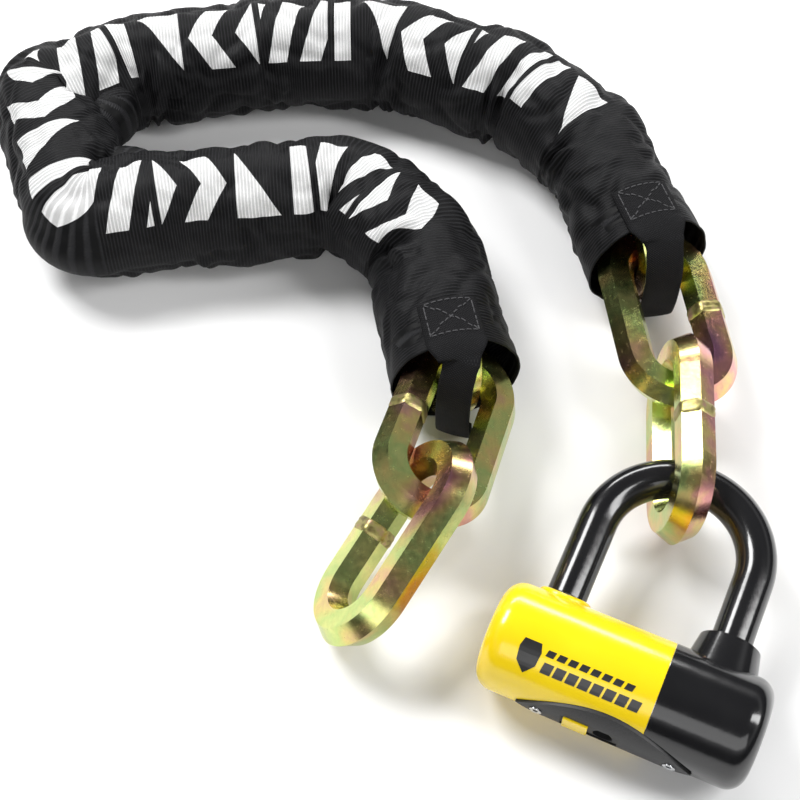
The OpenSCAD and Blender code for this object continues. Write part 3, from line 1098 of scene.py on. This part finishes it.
# mm, round its own middle: along the body and round it
SHIELD_MM = [(-3.4, -6.5), (3.4, -6.5), (4.4, -3), (3.8, 2.5), (0, 6.8), (-3.8, 2.5), (-4.4, -3)]
SHIELD_AT_MM = -36
DASH_LEAN_MM = 0.7
# left end, middle, dash length, gap, height, count
DASH_ROWS = {"mark_row_top": (-30.0, -4.0, 3.2, 1.3, 2.6, 8), "mark_row_low": (-30.0, 1.8, 4.0, 1.0, 4.4, 8)}


def build_mark(origin, axes):
    """A plain mark in place of printing: a shield and two rows of slanted dashes."""
    centre = math.radians(MARK_ROUND_DEG) * JACKET_RADIUS_MM

    def dash(left, middle, length, height):
        low, high = centre + middle + height / 2, centre + middle - height / 2
        right = left + length
        return [(left, low), (left + DASH_LEAN_MM, high), (right + DASH_LEAN_MM, high), (right, low)]

    shield = [(px + SHIELD_AT_MM, py + centre) for px, py in SHIELD_MM]
    jacket_patch("mark_shield", [shield], MARK_BLACK, origin, axes)
    for name, (left, middle, length, gap, height, count) in DASH_ROWS.items():
        dashes = [dash(left + k * (length + gap), middle, length, height) for k in range(count)]
        jacket_patch(name, dashes, MARK_BLACK, origin, axes)


def build_leg_lip(origin, axes):
    """The small rolled lip of yellow vinyl round the left leg."""
    x, y, z = axes
    around, tube = 64, 16
    spots, faces = [], []
    for col in range(around):
        angle = 2 * math.pi * col / around
        out = x * math.cos(angle) + z * math.sin(angle)
        ring = origin - x * LEG_OUT_MM * MM + out * LEG_LIP_MM * MM
        # the lip follows the cylinder it sits on
        height = math.sqrt(JACKET_RADIUS_MM ** 2 - (LEG_LIP_MM * math.sin(angle)) ** 2) + 0.1
        for row in range(tube):
            turn = 2 * math.pi * row / tube
            spots.append(ring + (out * math.cos(turn) * 1.3 + y * (height + math.sin(turn) * 1.6)) * MM)
    for col in range(around):
        here, after = col * tube, (col + 1) % around * tube
        for row in range(tube):
            up = (row + 1) % tube
            faces.append((here + row, here + up, after + up, after + row))
    piece = make_mesh("leg_lip", spots, faces, YELLOW_VINYL)
    turn_faces_outwards(piece)
    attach(piece, "lock_body")


# ---------------------------------------------------------------- studio

def area_light(name, place, aim, size, power):
    light = bpy.data.lights.new(name, "AREA")
    light.shape = "RECTANGLE"
    light.size, light.size_y = size
    light.energy = power
    lamp = bpy.data.objects.new(name, light)
    bpy.context.scene.collection.objects.link(lamp)
    lamp.location = place
    lamp.rotation_euler = (Vector(aim) - Vector(place)).to_track_quat("-Z", "Y").to_euler()


def grey(level):
    return (level, level, level)


def build_studio():
    """A pale floor, four soft lights, and a dark surround with one bright band some 30 degrees up."""
    corners = [(-FLOOR_HALF, -FLOOR_HALF, 0), (FLOOR_HALF, -FLOOR_HALF, 0),
               (FLOOR_HALF, FLOOR_HALF, 0), (-FLOOR_HALF, FLOOR_HALF, 0)]
    floor = make_mesh("floor", corners, [(0, 1, 2, 3)], floor_material())
    floor.location.z = -FLOOR_DROP
    world = bpy.data.worlds.new("studio")
    world.use_nodes = True
    tree = world.node_tree
    direction = add_node(tree, "ShaderNodeTexCoord")
    axes = add_node(tree, "ShaderNodeSeparateXYZ")
    tree.links.new(direction.outputs["Generated"], axes.inputs["Vector"])
    height = spread(tree, axes.outputs["Z"], 0.0, 1.0)
    levels = [(0.0, 0.03), (0.30, 0.08), (0.48, 0.60), (0.66, 0.10), (1.0, 0.16)]
    sky = ramp(tree, height, [(position, grey(level)) for position, level in levels])
    tree.links.new(sky, tree.nodes["Background"].inputs["Color"])
    tree.nodes["Background"].inputs["Strength"].default_value = 0.8
    bpy.context.scene.world = world
    area_light("key", (-0.55, 0.45, 0.95), (0, 0, 0), (0.55, 0.4), 14)
    area_light("fill", (0.80, -0.20, 0.75), (0.05, 0, 0), (0.25, 0.8), 7)
    area_light("back", (0.15, 0.95, 0.6), (0, 0.05, 0), (0.9, 0.2), 7)
    area_light("front", (0.0, -0.95, 0.8), (0, 0, 0), (1.2, 0.5), 4)


def floor_material():
    material, tree, shader = new_material("pale_floor")
    tone = noise_socket(tree, 6, detail=2)
    colour = ramp(tree, tone, [(0.3, grey(0.90)), (0.7, grey(0.93))])
    tree.links.new(colour, shader.inputs["Base Color"])
    shader.inputs["Roughness"].default_value = 0.9
    shader.inputs["Specular IOR Level"].default_value = 0.1
    return material


def build_camera():
    """Looks from the front and above, where the photograph was taken from."""
    rise = math.radians(CAMERA_RISE_DEG)
    camera = bpy.data.cameras.new("photo_view")
    camera.sensor_width = SENSOR_MM
    camera.lens = SENSOR_MM * LENS_PER_SENSOR
    camera.clip_start = 0.01
    eye = bpy.data.objects.new("photo_view", camera)
    bpy.context.scene.collection.objects.link(eye)
    eye.location = CAMERA_LOOKS_AT + Vector((0, -math.cos(rise), math.sin(rise))) * CAMERA_DISTANCE
    eye.rotation_euler = (CAMERA_LOOKS_AT - eye.location).to_track_quat("-Z", "Y").to_euler()
    bpy.context.scene.camera = eye


def set_render():
    scene = bpy.context.scene
    scene.render.engine = "CYCLES"
    scene.view_settings.view_transform = "Standard"
    scene.view_settings.look = "None"
    scene.view_settings.exposure = 0.0
    scene.cycles.use_denoising = True


# ---------------------------------------------------------------- build

dress_cad_nodes()
cloth = build_sleeve()
mouth_lining("hem_lock_end", cloth[0], flat_along(SLEEVED[0]), SLEEVED[0], SLEEVED[0] - 1)
mouth_lining("hem_free_end", cloth[-1], -flat_along(SLEEVED[-1]), SLEEVED[-1], SLEEVED[-1] + 1)
build_straps()
for number in range(1, LINKS + 1):
    build_weld(number)
lock_origin, lock_directions = lock_axes()
build_mark(lock_origin, lock_directions)
build_leg_lip(lock_origin, lock_directions)
build_studio()
build_camera()
set_render()
